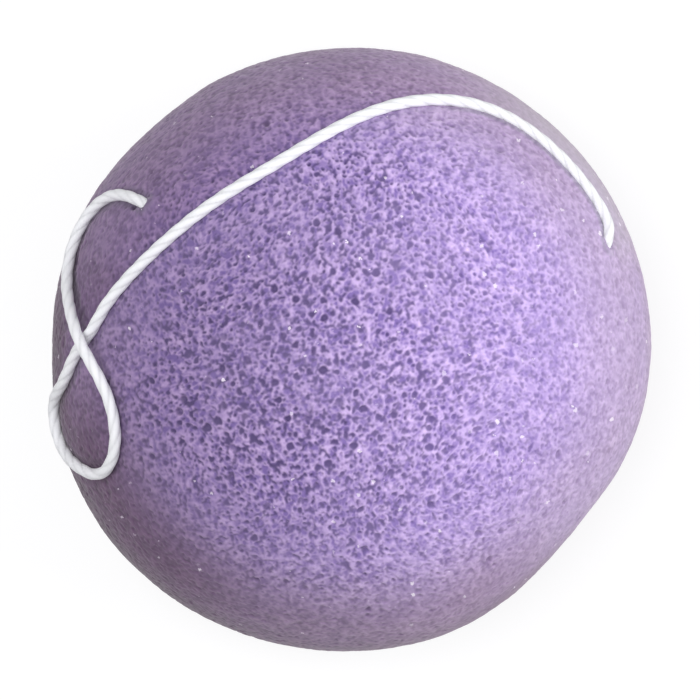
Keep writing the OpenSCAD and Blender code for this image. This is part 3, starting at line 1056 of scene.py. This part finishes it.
def glints(tree, place):
    """Painted glints: small pale specks of painted highlight, one in some of the cells of a
    random lattice.
    """
    wander = noise(tree, place, SPECK_WARP_SCALE).outputs["Color"]
    crooked = add(tree, "ShaderNodeVectorMath",
                  {0: wander, 1: (SPECK_WARP, SPECK_WARP, SPECK_WARP), 2: place},
                  operation="MULTIPLY_ADD").outputs[0]
    cells = add(tree, "ShaderNodeTexVoronoi", {"Vector": crooked, "Scale": SPECK_SCALE},
                voronoi_dimensions="3D", feature="F1")
    chance = add(tree, "ShaderNodeSeparateColor", {0: cells.outputs["Color"]})
    radius = ranged(tree, chance.outputs[0], *SPECK_CHANCES, *SPECK_RADII)
    side = add(tree, "ShaderNodeSeparateXYZ", {0: place}).outputs[0]
    radius = math_node(tree, "MULTIPLY", radius,
                       ranged(tree, side, -SPONGE_R, SPONGE_R, *SPECK_SIDES))
    near = math_node(tree, "SUBTRACT", radius, cells.outputs["Distance"])
    spot = ranged(tree, near, 0.0, SPECK_EDGE)
    return math_node(tree, "MULTIPLY", spot,
                     math_node(tree, "MULTIPLY", chance.outputs[1], SPECK_SHARE))


def konjac_colour(tree, place, stretched, grain):
    """The dyed skin: walls and pores, then the tones of its zones, mostly painted shade, shadow
    and sheen, then the painted light falloff and the painted glints.
    """
    dark = attribute(tree, "dark")
    wall = math_node(tree, "MULTIPLY", attribute(tree, "wall"), 1 - GRAIN_SHARE)
    light = math_node(tree, "ADD", wall, math_node(tree, "MULTIPLY", grain, GRAIN_SHARE))
    # Walls lighter and pores darker, partly painted light and shade; greyer along the rim,
    # painted sheen
    bulk = mixed(tree, dark, mixed(tree, light, BULK_DIM, BULK_BRIGHT), BULK_PORE)
    rim = mixed(tree, dark, mixed(tree, light, RIM_DIM, RIM_BRIGHT), RIM_PORE)
    body = mixed(tree, ranged(tree, attribute(tree, "rimward"), *RIM_COLOUR_STEP), bulk, rim)
    slow = ranged(tree, noise(tree, place, SLOW_SCALE, detail=3.0).outputs[0], *SLOW_STEP)
    body = mixed(tree, math_node(tree, "MULTIPLY", slow, SLOW_SHARE), body, SLOW_TONE)
    # Painted shade outside the strand, along the rim and between the strands
    for zone, tint in (("held_and_shaded", HELD_SHADE_TINT), ("rim_shade", RIM_SHADE_TINT)):
        body = mixed(tree, attribute(tree, zone), body, tint, blend="MULTIPLY")
    strip = math_node(tree, "MULTIPLY", attribute(tree, "strip"), STRIP_SHARE)
    body = mixed(tree, strip, body, STRIP_TONE)
    # Painted cord shade, painted sheen on the last strip along the rim, and painted shade on its
    # shaded part
    for zone, tint in (("near", CORD_SHADE_TINT), ("edge", EDGE_SHEEN_TINT), ("shaded", SHADED_TINT)):
        body = mixed(tree, attribute(tree, zone), body, tint, blend="MULTIPLY")
    # Painted light falloff: darker at the left, paler at the right
    side = add(tree, "ShaderNodeSeparateXYZ", {0: place}).outputs[0]
    pale = ranged(tree, side, *LIT_SIDE_X)
    body = mixed(tree, 1.0, body, mixed(tree, pale, SHADED_SIDE_TINT, LIT_SIDE_TINT), blend="MULTIPLY")
    return mixed(tree, glints(tree, stretched), body, GLINT_TONE)


def konjac_material():
    material, tree = new_material("konjac")
    place = add(tree, "ShaderNodeTexCoord").outputs["Object"]
    stretched = add(tree, "ShaderNodeVectorMath", {0: place, 1: (1, 1, 1 / PORE_STRETCH)},
                    operation="MULTIPLY").outputs[0]
    grain = ranged(tree, noise(tree, stretched, GRAIN_SCALE).outputs[0], *GRAIN_STEP)
    bump = add(tree, "ShaderNodeBump", {"Height": grain, "Strength": 0.4,
                                        "Distance": 0.07 * MM})
    shader = add(tree, "ShaderNodeBsdfPrincipled",
                 {"Base Color": konjac_colour(tree, place, stretched, grain),
                  "Roughness": 0.7, "Normal": bump.outputs[0],
                  "Subsurface Weight": 0.2, "Subsurface Scale": 0.3 * MM,
                  "Subsurface Radius": (1.0, 0.8, 1.0),
                  "Sheen Weight": 0.25, "Sheen Roughness": 0.5,
                  "Sheen Tint": (1.0, 0.92, 1.0, 1)})
    add(tree, "ShaderNodeOutputMaterial", {"Surface": shader.outputs[0]})
    return material


sponge = build_sponge()
sponge.data.materials.append(konjac_material())
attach(sponge, "root")
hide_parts("sponge_body")


# Floor, world and lamps

def seen_white(tree, plain, white):
    """Shows the second shader to the camera and in reflections, and the first to light."""
    path = add(tree, "ShaderNodeLightPath")
    seen = math_node(tree, "ADD", path.outputs["Is Camera Ray"], path.outputs["Is Glossy Ray"])
    seen = math_node(tree, "ADD", seen, path.outputs["Is Transmission Ray"], clamp=True)
    return add(tree, "ShaderNodeMixShader", {0: seen, 1: plain, 2: white}).outputs[0]


def make_floor():
    material, tree = new_material("floor")
    dull = add(tree, "ShaderNodeBsdfDiffuse", {"Color": FLOOR_GREY})
    glow = add(tree, "ShaderNodeEmission", {"Color": WHITE, "Strength": FLOOR_GLOW})
    pale = add(tree, "ShaderNodeAddShader", {0: dull.outputs[0], 1: glow.outputs[0]})
    surface = seen_white(tree, dull.outputs[0], pale.outputs[0])
    add(tree, "ShaderNodeOutputMaterial", {"Surface": surface})
    corners = FLOOR_HALF * np.array([[-1, -1, 0], [1, -1, 0], [1, 1, 0], [-1, 1, 0]])
    floor = mesh_object("floor", corners, np.array([[0, 1, 2, 3]]))
    floor.data.materials.append(material)


def make_world():
    world = bpy.data.worlds.new("world")
    bpy.context.scene.world = world
    world.use_nodes = True
    tree = world.node_tree
    tree.nodes.clear()
    dim = add(tree, "ShaderNodeBackground", {"Color": (*COOL, 1), "Strength": WORLD_STRENGTH})
    white = add(tree, "ShaderNodeBackground", {"Color": WHITE, "Strength": 1.0})
    add(tree, "ShaderNodeOutputWorld",
        {"Surface": seen_white(tree, dim.outputs[0], white.outputs[0])})


def add_lamp(name, place, size, power):
    data = bpy.data.lights.new(name, "AREA")
    data.shape = "DISK"
    data.size = size
    data.energy = power
    data.color = COOL
    lamp = bpy.data.objects.new(name, data)
    lamp.location = place
    away = unit(np.array(place, float) - np.array(LAMP_AIM, float))
    lamp.rotation_euler = (math.acos(away[2]), 0, math.atan2(away[1], away[0]) + math.pi / 2)
    bpy.context.scene.collection.objects.link(lamp)


make_floor()
make_world()
for lamp in LAMPS:
    add_lamp(*lamp)
